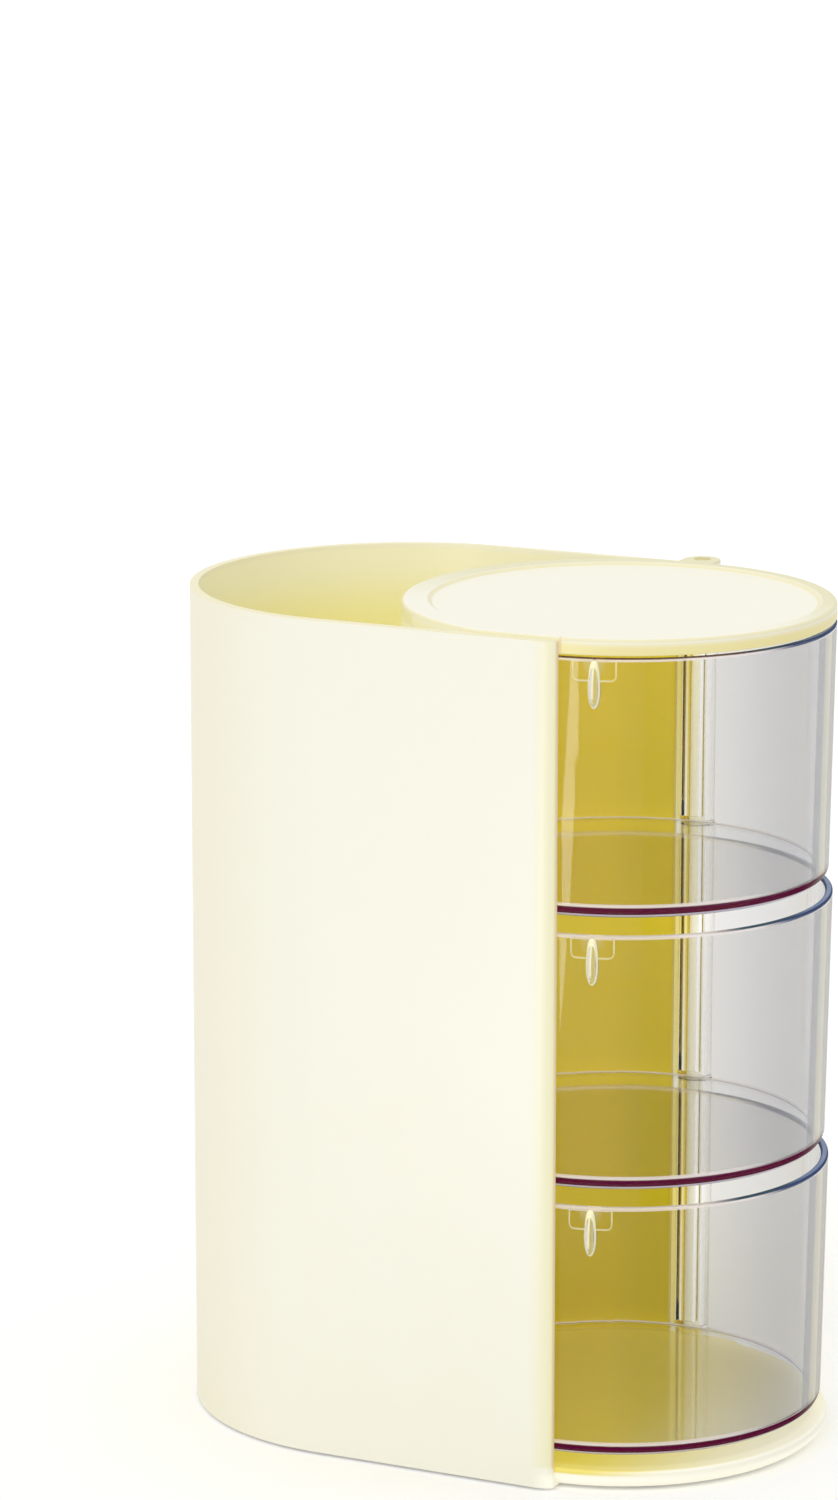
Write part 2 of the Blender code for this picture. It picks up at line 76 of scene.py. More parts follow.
# Hinge
PIVOT_X = -2.5 * MM
KNUCKLE_RADIUS = 4.6 * MM
KNUCKLE_TUCK = 0.2 * MM          # how deep a knuckle sinks into the line of its tray's rim
KNUCKLE_RISE = 2.1 * MM          # above the rim of its tray
KNUCKLE_GAP = 0.3 * MM           # between knuckles, and to the boss and the ear
KNUCKLE_ROUND = 0.3 * MM
WEB_WIDTH = 6.0 * MM
WEB_BITE = 0.6 * MM
ROD_RADIUS = 2.0 * MM
ROD_ROUND = 0.4 * MM
ROD_SINK = 0.6 * MM              # its tip below the top of the ear
ROD_HEAD_RADIUS = 3.0 * MM
ROD_HEAD_HEIGHT = 1.3 * MM
ROD_HEAD_ROUND = 0.3 * MM
BORE_CLEARANCE = 0.2 * MM

# Housing
SIDE_GAP = 0.5 * MM              # tray rim to the bay's wall
WALL = 2.2 * MM
PARTITION = 1.9 * MM
POCKET_DEPTH = 56.1 * MM         # from the partition to the round end, in the middle
POCKET_FLOOR = 2.5 * MM
FRONT_END = 5.6 * MM             # end of the front wall past the bay axis
REAR_END_GAP = 0.5 * MM          # end of the rear wall to the knuckles
NOSE_LENGTH = 4.5 * MM           # the front wall's end, rounded along the wall
NOSE_DEPTH = 2.0 * MM            # and across it
REAR_NOSE = 1.0 * MM
CUSP_X = -21.6 * MM              # where the pocket's two narrow corners end
CUSP_DEPTH = 6.0 * MM
CUSP_ROUND = 1.1 * MM
WALL_ROUND = 0.55 * MM
WALL_DROP = 0.6 * MM             # top of the walls below the top of the cover
BASE = 5.0 * MM                  # thickness of the base under the trays
TRAY_LIFT = 3.0 * MM             # base to the lowest tray's underside
FLANGE_REACH = 0.6 * MM          # the base under the trays stands out past their rims
FLANGE_FILLET = 4.0 * MM
FLANGE_ROUND = 0.8 * MM
ROOT_STEP = 0.6 * MM             # the hinge boss's root stands out this far round the boss
ROOT_TIPS = ((-16.8 * MM, 53.6 * MM), (15.28 * MM, 49.14 * MM))
ROOT_HEEL = ((-17.4 * MM, 41.2 * MM), (13.3 * MM, 42.6 * MM))

# Feet
FOOT_RADIUS = 6.0 * MM
FOOT_STAND = 0.8 * MM            # how far the feet lift the base
FOOT_SINK = 1.0 * MM             # depth of their recesses
FOOT_ROUND = 0.3 * MM
FOOT_INSET = 14.0 * MM           # foot centre in from the edge of the base
FOOT_ANGLES = (math.radians(125.0), math.radians(58.0))

# Top cover
COVER_HEIGHT = 4.0 * MM
COVER_PLATE_THICKNESS = 1.6 * MM
COVER_GAP = 0.6 * MM             # over the top tray's rim
COVER_SKIRT = 1.5 * MM           # thickness of the free edge
COVER_ROUND = 0.9 * MM
COVER_LOWER_ROUND = 0.25 * MM
RECESS_RADIUS = 48.0 * MM        # the round flat inside the raised rim
RECESS_FOOT_RADIUS = 47.0 * MM   # where the rim's slope meets the flat
RECESS_MOUTH_RADIUS = 48.5 * MM
RECESS_OVERRUN = 0.2 * MM
RECESS_ROUND = 0.5 * MM
BEAD_HEIGHT = 0.8 * MM
EAR_HEIGHT = 2.2 * MM
EAR_ROUND = 0.5 * MM
LAP = 0.9 * MM                   # thickness of the partition's upstand inside the cover
SEAT_REACH = (-40.0 * MM, 10.0 * MM)

SEAT_GAP = 0.3 * MM              # between pieces that rest on or in one another
OVERRUN = 2.0 * MM               # cutters past the faces that they cut

# Sizes that follow
TRAY_FOOT_RADIUS = TRAY_RADIUS - TRAY_DRAFT
TRAY_PITCH = TRAY_HEIGHT + TRAY_SPACE
PIVOT_REACH = TRAY_RADIUS + KNUCKLE_RADIUS - KNUCKLE_TUCK
PIVOT = (PIVOT_X, math.sqrt(PIVOT_REACH**2 - PIVOT_X**2))
BORE_RADIUS = ROD_RADIUS + BORE_CLEARANCE
HALF_INNER = TRAY_RADIUS + SIDE_GAP
HALF_OUTER = HALF_INNER + WALL
PARTITION_RADIUS = HALF_INNER + PARTITION
ROUND_OFFSET = POCKET_DEPTH + PARTITION
REAR_END = PIVOT_X - KNUCKLE_RADIUS - REAR_END_GAP
FLANGE_RADIUS = TRAY_RADIUS + FLANGE_REACH
HOLLOW_RADIUS = FLANGE_RADIUS - FLANGE_FILLET - WALL
BASE_TOP = FOOT_STAND + BASE
FLOOR_TOP = FOOT_STAND + POCKET_FLOOR
LOWEST_TRAY = BASE_TOP + TRAY_LIFT
KNUCKLE_DROP = TRAY_SPACE - KNUCKLE_RISE - KNUCKLE_GAP
BOSS_TOP = LOWEST_TRAY - KNUCKLE_DROP - KNUCKLE_GAP
TOP_RIM = LOWEST_TRAY + (len(TRAYS) - 1) * TRAY_PITCH + TRAY_HEIGHT
COVER_BOTTOM = TOP_RIM + COVER_GAP
TOP = COVER_BOTTOM + COVER_HEIGHT
WALL_TOP = TOP - WALL_DROP
PLATE_TOP = TOP - BEAD_HEIGHT
PLATE_BOTTOM = PLATE_TOP - COVER_PLATE_THICKNESS
EAR_BOTTOM = TOP - EAR_HEIGHT
ROD_BOTTOM = FOOT_STAND + SEAT_GAP

# The bay axis, from the middle of the whole footprint
BAY_X = (ROUND_OFFSET + HALF_OUTER - FLANGE_RADIUS) / 2
BAY_Y = (HALF_OUTER - PIVOT[1] - KNUCKLE_RADIUS - ROOT_STEP) / 2

# How finely shapes are made and told apart
LARGE_SIDES = 192
SMALL_SIDES = 48
MERGE = 0.002 * MM
NEAR = 0.02 * MM
LONG_EDGE = 100.0 * MM
SQUARE = 0.99                    # a normal this close to an axis is along it
FLAT_ANGLE = math.radians(32.0)  # a sharper edge stays an edge
SHADING_WEIGHT = 80              # how far the large faces set the shading

# Cream plastic: its two tones outside, then the painted shade that it is given from place to place
CREAM_TONES = ("#F9F7E8", "#F8F5E4")
WALL_LEFT_SHADE = "#F6F0D8"
WALL_NOSE_SHADE = "#F6F2CE"
WALL_EDGE_SHADE = "#ECD7B1"
POCKET_TOP_SHADE = "#FAF6D7"
POCKET_DEEP_SHADE = "#F7F0AC"
POCKET_DEEPER_SHADE = "#F7EA89"
BAY_SHADE = "#FFE727"
LEDGE_SHADE = "#ECDA5B"
COVER_SIDE_SHADE = "#F3E7A6"
COVER_PLATE_SHADE = "#F6F3E1"
COVER_RIM_SHADE = "#EFE8C2"
COVER_REAR_SHADE = "#E3DEB3"
PAINTED_GLOW_COLOUR = "#FFFBEA"                 # painted light: a glow given to the flange's lower edge and the rod, which are no lamps
FLANGE_PAINTED_GLOW = (0.07, 0.25)       # its strength from the flange's upper to its lower edge
ROD_PAINTED_GLOW = 0.2
LIGHT_INSIDE = "#FFFCE1"         # what gets through a wall, and its share
LIGHT_THROUGH = 0.88
CLOUD_SIZE = 22.22 * MM          # slow change of tone over a moulding
GRAIN_SIZE = 0.4 * MM            # spark grain of the mould, drawn coarser than it is
GRAIN_DEPTH = 0.05 * MM

# Clear plastic: its tint from left to right, painted greyer towards the right as shade, then the painted
# highlights, reflections and shade lines along its edges
CLEAR_LEFT = "#F2EFEC"
CLEAR_MIDDLE = "#ECEBE9"
CLEAR_RIGHT_SHADE = "#DDDDDF"
HINGE_PAINTED_LIGHT = "#FDFDFC"
CLEAR_GLOSS = "#7C7C7C"
HINGE_GOLD_SHADE = "#D7BF45"
END_GREY_SHADE = "#A2A3A4"
END_CREAM_HIGHLIGHT = "#D7D1B1"
END_SHADE = "#B1AC9E"
PLUM_CORNER_REFLECTION = "#5B0A35"
PINK_HIGHLIGHT = "#FDF1EF"
LILAC_HIGHLIGHT = "#E7DDEF"
TEAL_REFLECTION = "#3F5565"
BROWN_SHADOW = "#654538"
BLUE_REFLECTION = "#7C8EB5"
DARK_BLUE_REFLECTION = "#354573"
PULL_HIGHLIGHT = "#FFFAD4"
SIDE_ANGLE = math.radians(25.2)  # the way along which the trays' painted shade changes from left to right

# Rubber
RUBBER_TONES = ("#E9E5D6", "#DEDACA")
BLOOM_SIZE = 1.111 * MM          # mottling of the rubber's bloom

# Room and camera
WHITE = "#FFFFFF"
FLOOR_GREY = "#E7E7E7"
FLOOR_SIZE = 16.0
FLOOR_LIFT = 0.25                # makes the lit floor white to the eye
ROOM_LIGHT = 0.775
KEY_AZIMUTH = math.radians(-5.0)
KEY_ELEVATION = math.radians(50.0)
KEY_WIDTH = math.radians(50.0)
KEY_STRENGTH = 0.95
STRIP_SIZE = (75.0 * MM, 700.0 * MM)
STRIP_POWER = 2.0
STRIP_LEAN = math.radians(-6.95)
STRIP_REACH = 620.0 * MM
STRIP_AIM = (7.5 * MM, -51.5 * MM, 1.0 * MM)
CAMERA_PLACE = (514.2336 * MM, -1210.2269 * MM, 465.7995 * MM)
CAMERA_PITCH = math.radians(12.525)
CAMERA_TURN = math.radians(25.2075)
CAMERA_LENS = 131.37             # in millimetres, on a sensor of full width
SENSOR = 36.0
CAMERA_CLIP = (0.05, 50.0)


def at(x, y, z=0.0):
    """A place given from the bay axis, in the frame's own lengths."""
    return Vector((BAY_X + x, BAY_Y + y, z))


def same(a, b):
    return abs(a - b) < NEAR


def let_go():
    """Leave edit mode, with nothing selected."""
    if bpy.context.mode != "OBJECT":
        bpy.ops.object.mode_set(mode="OBJECT")
    bpy.ops.object.select_all(action="DESELECT")


def work_on(piece):
    """Leave edit mode and make one piece the only one selected."""
    let_go()
    piece.select_set(True)
    bpy.context.view_layer.objects.active = piece


def edit(piece):
    """Open one piece in edit mode with all of it selected."""
    work_on(piece)
    bpy.ops.object.mode_set(mode="EDIT")
    bpy.ops.mesh.select_all(action="SELECT")


def take(name):
    """Name the primitive that was just added and put its place into its mesh."""
    piece = bpy.context.object
    piece.name = name
    piece.data.name = name
    work_on(piece)
    bpy.ops.object.transform_apply(location=True, rotation=True, scale=True)
    return piece


def round_block(name, centre, radius, low, high, sides=LARGE_SIDES, foot=None):
    """An upright round block; foot is its lower radius where it tapers."""
    let_go()
    bpy.ops.mesh.primitive_cone_add(
        vertices=sides,
        radius1=radius if foot is None else foot,
        radius2=radius,
        depth=high - low,
        end_fill_type="NGON",
        location=at(*centre, (low + high) / 2),
    )
    return take(name)


def pin_block(name, radius, low, high):
    """A small round block on the hinge line."""
    return round_block(name, PIVOT, radius, low, high, SMALL_SIDES)


def square_block(name, low, high):
    """A block between two opposite corners, given from the bay axis."""
    let_go()
    a = at(*low)
    b = at(*high)
    bpy.ops.mesh.primitive_cube_add(size=1.0, location=(a + b) / 2, scale=b - a)
    return take(name)


def pick(kind, test):
    """In edit mode, select the points, edges or faces that pass a test, and nothing else."""
    bpy.ops.mesh.select_mode(type=kind)
    bpy.ops.mesh.select_all(action="DESELECT")
    mesh = bpy.context.object.data
    shape = bmesh.from_edit_mesh(mesh)
    for item in {"VERT": shape.verts, "EDGE": shape.edges, "FACE": shape.faces}[kind]:
        if test(item):
            item.select_set(True)
    bmesh.update_edit_mesh(mesh)


def level(z):
    """A test for the edges of a flat top or bottom at height z, where it meets an upright face."""

    def passes(edge):
        if not all(same(v.co.z, z) for v in edge.verts) or len(edge.link_faces) != 2:
            return False
        flat = [abs(f.normal.z) > SQUARE for f in edge.link_faces]
        return flat[0] != flat[1]

    return passes


def ring(z, radius, centre=(0.0, 0.0)):
    """A test for the edges of a circle round an upright axis."""
    axis = at(*centre)

    def passes(edge):
        reach = [math.hypot(v.co.x - axis.x, v.co.y - axis.y) for v in edge.verts]
        return all(same(v.co.z, z) for v in edge.verts) and all(same(r, radius) for r in reach)

    return passes


def upright(x, y):
    """A test for the edges that stand at one place."""
    foot = at(x, y)
    return lambda edge: all(same(v.co.x, foot.x) and same(v.co.y, foot.y) for v in edge.verts)


def span(edge, axis):
    """How far an edge runs along one axis."""
    first, second = edge.verts
    return abs(first.co[axis] - second.co[axis])


def round_over(test, width, segments):
    """Round the edges that pass a test."""
    pick("EDGE", test)
    bpy.ops.mesh.bevel(offset=width, segments=segments, offset_type="OFFSET", clamp_overlap=True)


def boolean(piece, tool, operation, solver):
    """Join, cut or intersect a piece with a tool, which is used up."""
    work_on(piece)
    step = piece.modifiers.new("Shape", "BOOLEAN")
    step.operation = operation
    step.solver = solver
    step.object = tool
    bpy.ops.object.modifier_apply(modifier=step.name)
    bpy.data.objects.remove(tool)


def cut(piece, *tools, solver="MANIFOLD"):
    for tool in tools:
        boolean(piece, tool, "DIFFERENCE", solver)


def join(piece, *tools, solver="MANIFOLD"):
    for tool in tools:
        boolean(piece, tool, "UNION", solver)


def smooth(piece):
    """Merge doubles, turn the faces outwards, and shade round with the large faces kept flat."""
    edit(piece)
    bpy.ops.mesh.remove_doubles(threshold=MERGE)
    bpy.ops.mesh.normals_make_consistent(inside=False)
    work_on(piece)
    bpy.ops.object.shade_smooth_by_angle(angle=FLAT_ANGLE)
    step = piece.modifiers.new("Even", "WEIGHTED_NORMAL")
    step.mode = "FACE_AREA"
    step.weight = SHADING_WEIGHT
    step.keep_sharp = True
    bpy.ops.object.modifier_apply(modifier=step.name)


def push_right(test, distance):
    """Draw out the faces that pass a test to the right."""
    pick("FACE", test)
    bpy.ops.mesh.extrude_region_move(TRANSFORM_OT_translate={"value": (distance, 0.0, 0.0)})


def turn_with_hinge():
    """Turn what is selected from straight behind the bay axis to the hinge's own direction."""
    lean = math.atan2(PIVOT[1], PIVOT[0]) - math.pi / 2
    bpy.ops.transform.rotate(value=-lean, orient_axis="Z", center_override=at(0.0, 0.0))


# Housing


def round_ended(name, centre_x, radius, low, high, right):
    """A block with a round left end, straight sides and a flat right end."""
    block = round_block(name, (centre_x, 0.0), radius, low, high)
    edit(block)
    bpy.ops.mesh.bisect(
        plane_co=at(centre_x, 0.0), plane_no=(1.0, 0.0, 0.0), use_fill=True, clear_outer=True
    )
    push_right(lambda face: face.normal.x > SQUARE, right - centre_x)
    return block


def make_wall_block():
    """The outer form, solid: a round left end, and a front wall that runs on past the rear one."""
    walls = round_ended("housing_moulding", -ROUND_OFFSET, HALF_OUTER, FOOT_STAND, WALL_TOP, REAR_END)
    edit(walls)
    bpy.ops.mesh.bisect(plane_co=at(0.0, 0.0), plane_no=(0.0, 1.0, 0.0))
    end = at(REAR_END, 0.0)
    push_right(
        lambda face: face.normal.x > SQUARE and face.calc_center_median().y < end.y, FRONT_END - REAR_END
    )

    # The front wall's long soft nose and the rear wall's small one
    round_over(upright(FRONT_END, -HALF_OUTER), NOSE_DEPTH, segments=12)
    start = at(FRONT_END - NOSE_DEPTH, NOSE_DEPTH - HALF_OUTER)
    pick("VERT", lambda v: v.co.x > start.x - NEAR and v.co.y < start.y + NEAR)
    bpy.ops.transform.resize(
        value=(NOSE_LENGTH / NOSE_DEPTH, 1.0, 1.0), center_override=at(FRONT_END, 0.0)
    )
    round_over(upright(REAR_END, HALF_OUTER), REAR_NOSE, segments=8)
    return walls


def make_pocket_tool():
    """The room of the deep pocket: it stops at the partition and in two narrow corners beside it."""
    pocket = round_ended("pocket_cutter", -ROUND_OFFSET, HALF_INNER, FLOOR_TOP, TOP + OVERRUN, 0.0)
    high = TOP + 2 * OVERRUN
    cut(pocket, round_block("partition_keep", (0.0, 0.0), PARTITION_RADIUS, 0.0, high))
    for side in (-1, 1):
        near, far = sorted((side * (HALF_INNER - CUSP_DEPTH), side * (HALF_INNER + OVERRUN)))
        cut(pocket, square_block("cusp_keep", (CUSP_X, near, 0.0), (OVERRUN, far, high)))
    edit(pocket)
    line = at(CUSP_X, 0.0)
    round_over(
        lambda edge: all(same(v.co.x, line.x) for v in edge.verts) and span(edge, 2) > LONG_EDGE,
        CUSP_ROUND,
        segments=6,
    )
    return pocket


def make_seat_tool():
    """The room for the cover over the partition, but for the thin upstand that it laps over."""
    seat_top = COVER_BOTTOM - SEAT_GAP
    left, right = SEAT_REACH
    seat = square_block("cover_seat", (left, -HALF_INNER, seat_top), (right, HALF_INNER, TOP + OVERRUN))
    keep_top = PLATE_BOTTOM - SEAT_GAP
    keep = round_block("lap_keep", (0.0, 0.0), HALF_INNER + LAP, seat_top - OVERRUN, keep_top)
    lap_side = TRAY_RADIUS - COVER_SKIRT - SEAT_GAP
    edit(keep)
    for side in (-1, 1):
        bpy.ops.mesh.select_all(action="SELECT")
        bpy.ops.mesh.bisect(
            plane_co=at(0.0, side * lap_side), plane_no=(0.0, side, 0.0), use_fill=True, clear_outer=True
        )
    cut(seat, keep)
    return seat


def make_walls():
    walls = make_wall_block()
    right = FRONT_END + OVERRUN
    cut(walls, round_ended("bay_cutter", 0.0, HALF_INNER, BASE_TOP, TOP + OVERRUN, right))
    cut(walls, make_pocket_tool())
    cut(walls, make_seat_tool())
    edit(walls)
    round_over(level(WALL_TOP), WALL_ROUND, segments=4)
    return walls


def make_flange():
    """The round base under the trays."""
    flange = round_block("flange", (0.0, 0.0), FLANGE_RADIUS, FOOT_STAND, BASE_TOP)
    edit(flange)
    round_over(ring(FOOT_STAND, FLANGE_RADIUS), FLANGE_FILLET, segments=12)
    round_over(ring(BASE_TOP, FLANGE_RADIUS), FLANGE_ROUND, segments=5)
    return flange


def make_root():
    """The thick root in the base that carries the hinge boss."""
    root = pin_block("boss_root", KNUCKLE_RADIUS + ROOT_STEP, FOOT_STAND, BASE_TOP)
    low, high = ROOT_HEEL
    heel = square_block("root_heel", (*low, FOOT_STAND), (*high, BASE_TOP))
    edit(heel)
    back = at(*high).y - NEAR
    for (x, y), (corner, _) in zip(ROOT_TIPS, ROOT_HEEL):
        place = at(corner, y)
        pick("VERT", lambda v: same(v.co.x, place.x) and v.co.y > back)
        bpy.ops.transform.translate(value=(x - corner, y - high[1], 0.0))
    work_on(root)
    heel.select_set(True)
    bpy.ops.object.join()
    edit(root)
    bpy.ops.mesh.convex_hull()
    return root


def make_boss():
    boss = pin_block("hinge_boss", KNUCKLE_RADIUS, BASE_TOP - OVERRUN, BOSS_TOP)
    edit(boss)
    round_over(ring(BOSS_TOP, KNUCKLE_RADIUS, PIVOT), KNUCKLE_ROUND, segments=3)
    return boss


def foot_places():
    """Two under the pocket's round end and two under the trays, front ones first."""
    left, right = FOOT_ANGLES
    left_reach = HALF_OUTER - FOOT_INSET
    right_reach = FLANGE_RADIUS - FOOT_INSET
    places = []
    for side in (-1, 1):
        places.append((left_reach * math.cos(left) - ROUND_OFFSET, side * left_reach * math.sin(left)))
        places.append((right_reach * math.cos(right), side * right_reach * math.sin(right)))
    return places


def make_housing():
    body = make_walls()
    join(body, make_flange(), make_root(), make_boss())

    low = FOOT_STAND - OVERRUN
    head_room = ROD_BOTTOM + ROD_HEAD_HEIGHT + SEAT_GAP
    cut(body, pin_block("rod_hole", BORE_RADIUS, low, TOP))
    cut(body, pin_block("head_room", ROD_HEAD_RADIUS + SEAT_GAP, low, head_room))
    hollow = round_block("base_hollow", (0.0, 0.0), HOLLOW_RADIUS, low, FLOOR_TOP)
    recess_radius = FOOT_RADIUS + SEAT_GAP
    for place in foot_places():
        boss_low = low - OVERRUN
        cut(hollow, round_block("foot_boss", place, recess_radius + WALL, boss_low, BASE_TOP, SMALL_SIDES))
    cut(body, hollow)
    recess_top = FOOT_STAND + FOOT_SINK
    for place in foot_places():
        cut(body, round_block("recess", place, recess_radius, low, recess_top, SMALL_SIDES))
    smooth(body)
    return body


# Top cover


def cover_block(name, right, left, low, high):
    """A half round over the trays' open side, with a wider arc over the partition."""
    block = round_block(name, (0.0, 0.0), left, low, high)
    edit(block)
    axis = at(0.0, 0.0)
    pick("VERT", lambda v: v.co.x > axis.x - NEAR)
    bpy.ops.transform.resize(value=(right / left, right / left, 1.0), center_override=axis)
    for side in (-1, 1):
        edge = at(0.0, side * right)
        pick("VERT", lambda v: side * (v.co.y - edge.y) > 0.0)
        bpy.ops.transform.resize(value=(1.0, 0.0, 1.0), center_override=edge)
    return block


def make_recess_tool():
    """The round flat in the cover's top, with a sloping side."""
    high = TOP + RECESS_OVERRUN
    mouth = RECESS_MOUTH_RADIUS
    recess = round_block("recess", (0.0, 0.0), mouth, PLATE_TOP, high, foot=RECESS_FOOT_RADIUS)
    edit(recess)
    round_over(ring(PLATE_TOP, RECESS_FOOT_RADIUS), RECESS_ROUND, segments=4)
    return recess


def make_ear():
    """The ear at the back that holds the top of the rod."""
    ear = pin_block("ear", KNUCKLE_RADIUS, EAR_BOTTOM, TOP)
    edit(ear)
    round_over(level(TOP), EAR_ROUND, segments=4)
    return ear


def make_neck():
    """What joins the ear to the cover."""
    near = (RECESS_RADIUS + TRAY_RADIUS) / 2
    neck = square_block(
        "ear_neck", (-KNUCKLE_RADIUS, near, EAR_BOTTOM), (KNUCKLE_RADIUS, math.hypot(*PIVOT), TOP)
    )
    edit(neck)
    turn_with_hinge()
    return neck


def make_cover():
    cover = cover_block("cover_moulding", TRAY_RADIUS, PARTITION_RADIUS, COVER_BOTTOM, TOP)
    edit(cover)
    round_over(level(TOP), COVER_ROUND, segments=5)
    round_over(level(COVER_BOTTOM), COVER_LOWER_ROUND, segments=2)
    cut(cover, make_recess_tool())
    join(cover, make_ear(), make_neck())
    low = COVER_BOTTOM - OVERRUN
    lap_room = HALF_INNER + LAP + SEAT_GAP
    cut(cover, cover_block("hollow", TRAY_RADIUS - COVER_SKIRT, lap_room, low, PLATE_BOTTOM))
    cut(cover, pin_block("knuckle_room", KNUCKLE_RADIUS + KNUCKLE_GAP, low, EAR_BOTTOM))
    cut(cover, pin_block("ear_hole", BORE_RADIUS, COVER_BOTTOM, TOP + OVERRUN))
    smooth(cover)
    return cover


# Trays


def make_cup():
    """The open cup, drawn in towards its foot."""
    cup = round_block("tray_cup", (0.0, 0.0), TRAY_RADIUS, 0.0, TRAY_HEIGHT, foot=TRAY_FOOT_RADIUS)
    edit(cup)
    pick("FACE", lambda face: face.normal.z > SQUARE)
    bpy.ops.mesh.inset(thickness=TRAY_WALL)
    down = (0.0, 0.0, TRAY_FLOOR - TRAY_HEIGHT)
    bpy.ops.mesh.extrude_region_move(TRANSFORM_OT_translate={"value": down})
    shrink = (TRAY_FOOT_RADIUS - TRAY_WALL) / (TRAY_RADIUS - TRAY_WALL)
    bpy.ops.transform.resize(value=(shrink, shrink, 1.0), center_override=at(0.0, 0.0, TRAY_FLOOR))
    round_over(ring(0.0, TRAY_FOOT_RADIUS), TRAY_CORNER, segments=8)
    round_over(level(TRAY_FLOOR), TRAY_INNER_CORNER, segments=6)
    round_over(level(TRAY_HEIGHT), TRAY_RIM_ROUND, segments=4)
    return cup


def make_knuckle():
    high = TRAY_HEIGHT + KNUCKLE_RISE
    knuckle = pin_block("knuckle", KNUCKLE_RADIUS, -KNUCKLE_DROP, high)
    edit(knuckle)
    round_over(level(-KNUCKLE_DROP), KNUCKLE_ROUND, segments=3)
    round_over(level(high), KNUCKLE_ROUND, segments=3)
    return knuckle


def make_web():
    """The rib that carries the knuckle."""
    web = square_block(
        "web",
        (-WEB_WIDTH / 2, TRAY_FOOT_RADIUS - WEB_BITE, TRAY_CORNER),
        (WEB_WIDTH / 2, math.hypot(*PIVOT), TRAY_HEIGHT - TRAY_RIM_ROUND),
    )
    edit(web)
    turn_with_hinge()
    return web


def make_land():
    """A slightly raised field on the wall, with two rounded lower corners."""
    low = TRAY_HEIGHT - LAND_DEPTH
    land = square_block(
        "land",
        (-LAND_WIDTH / 2, TRAY_FOOT_RADIUS - LAND_BITE, low),
        (LAND_WIDTH / 2, TRAY_RADIUS + OVERRUN, TRAY_HEIGHT - TRAY_RIM_ROUND),
    )
    edit(land)
    round_over(
        lambda edge: all(same(v.co.z, low) for v in edge.verts) and span(edge, 1) > LAND_BITE,
        LAND_ROUND,
        segments=6,
    )
    bpy.ops.mesh.select_all(action="SELECT")
    turn = math.pi / 2 - PULL_ANGLE
    bpy.ops.transform.rotate(value=turn, orient_axis="Z", center_override=at(0.0, 0.0))
    rim = TRAY_RADIUS + LAND_RISE
    skin = round_block("land_skin", (0.0, 0.0), rim, 0.0, TRAY_HEIGHT, foot=TRAY_FOOT_RADIUS + LAND_RISE)
    boolean(land, skin, "INTERSECT", "MANIFOLD")
    return land


def make_pull():
    """A slim grip: an upright oval, round at the bottom and filled out towards the rim."""
    let_go()
    bpy.ops.mesh.primitive_uv_sphere_add(segments=PULL_SIDES, ring_count=PULL_RINGS, radius=1.0)
    pull = take("pull")
    along = Vector((math.cos(PULL_ANGLE), math.sin(PULL_ANGLE), 0.0))
    across = Vector((-along.y, along.x, 0.0))
    middle = TRAY_HEIGHT - PULL_HEIGHT / 2
    wall_radius = TRAY_RADIUS - TRAY_WALL / 2
    reach = PULL_REACH + TRAY_WALL / 2
    for vertex in pull.data.vertices:
        out, side, up = vertex.co
        slim = 1.0 - (1.0 - PULL_TOP_SHARE) * (up + 1.0) / 2
        full = max(1.0 - max(up, 0.0) ** 2, PULL_TIP) ** -PULL_FULLNESS
        place = at(0.0, 0.0) + along * (wall_radius + max(out, 0.0) * reach * slim)
        place = place + across * (side * PULL_WIDTH / 2 * slim * full)
        vertex.co = place + Vector((0.0, 0.0, middle + up * PULL_HEIGHT / 2))
    edit(pull)
    bpy.ops.mesh.remove_doubles(threshold=MERGE)
    return pull


def make_tray():
    cup = make_cup()
    join(cup, make_knuckle(), make_web(), make_land(), make_pull(), solver="EXACT")
    bore = pin_block("bore", BORE_RADIUS, -2 * KNUCKLE_DROP, TRAY_HEIGHT + 2 * KNUCKLE_RISE)
    cut(cup, bore, solver="EXACT")
    smooth(cup)
    return cup


# Rod and feet


def make_rod():
    tip = TOP - ROD_SINK
    rod = pin_block("hinge_rod_pin", ROD_RADIUS, ROD_BOTTOM, tip)
    edit(rod)
    round_over(ring(tip, ROD_RADIUS, PIVOT), ROD_ROUND, segments=3)
    head = pin_block("rod_head", ROD_HEAD_RADIUS, ROD_BOTTOM, ROD_BOTTOM + ROD_HEAD_HEIGHT)
    edit(head)
    round_over(level(ROD_BOTTOM), ROD_HEAD_ROUND, segments=3)
    join(rod, head)
    smooth(rod)
    return rod


def make_foot(place):
    top = FOOT_STAND + FOOT_SINK - SEAT_GAP
    foot = round_block("foot_pad_1", place, FOOT_RADIUS, 0.0, top, SMALL_SIDES)
    edit(foot)
    round_over(level(0.0), FOOT_ROUND, segments=3)
    smooth(foot)
    return foot


def copy_of(piece, name, offset):
    """A copy with its own mesh, moved inside its mesh."""
    twin = piece.copy()
    twin.data = piece.data.copy()
    twin.name = name
    twin.data.name = name
    twin.data.transform(Matrix.Translation(offset))
    bpy.context.scene.collection.objects.link(twin)
    return twin


# Finishes


def linear(code):
    """An sRGB hex colour as linear values with full alpha."""
    parts = [int(code[i : i + 2], 16) / 255 for i in (1, 3, 5)]
    return (*[c / 12.92 if c <= 0.04045 else ((c + 0.055) / 1.055) ** 2.4 for c in parts], 1.0)


def node(tree, kind, settings=None, links=None):
    """Add one node, set its properties and input values, and link its inputs."""
    made = tree.nodes.new(kind)
    for key, value in (settings or {}).items():
        if isinstance(key, int) or key in made.inputs:
            made.inputs[key].default_value = value
        else:
            setattr(made, key, value)
    for key, source in (links or {}).items():
        tree.links.new(source, made.inputs[key])
    return made


def new_finish(name):
    material = bpy.data.materials.new(name)
    material.use_nodes = True
    material.node_tree.nodes.clear()
    return material, material.node_tree


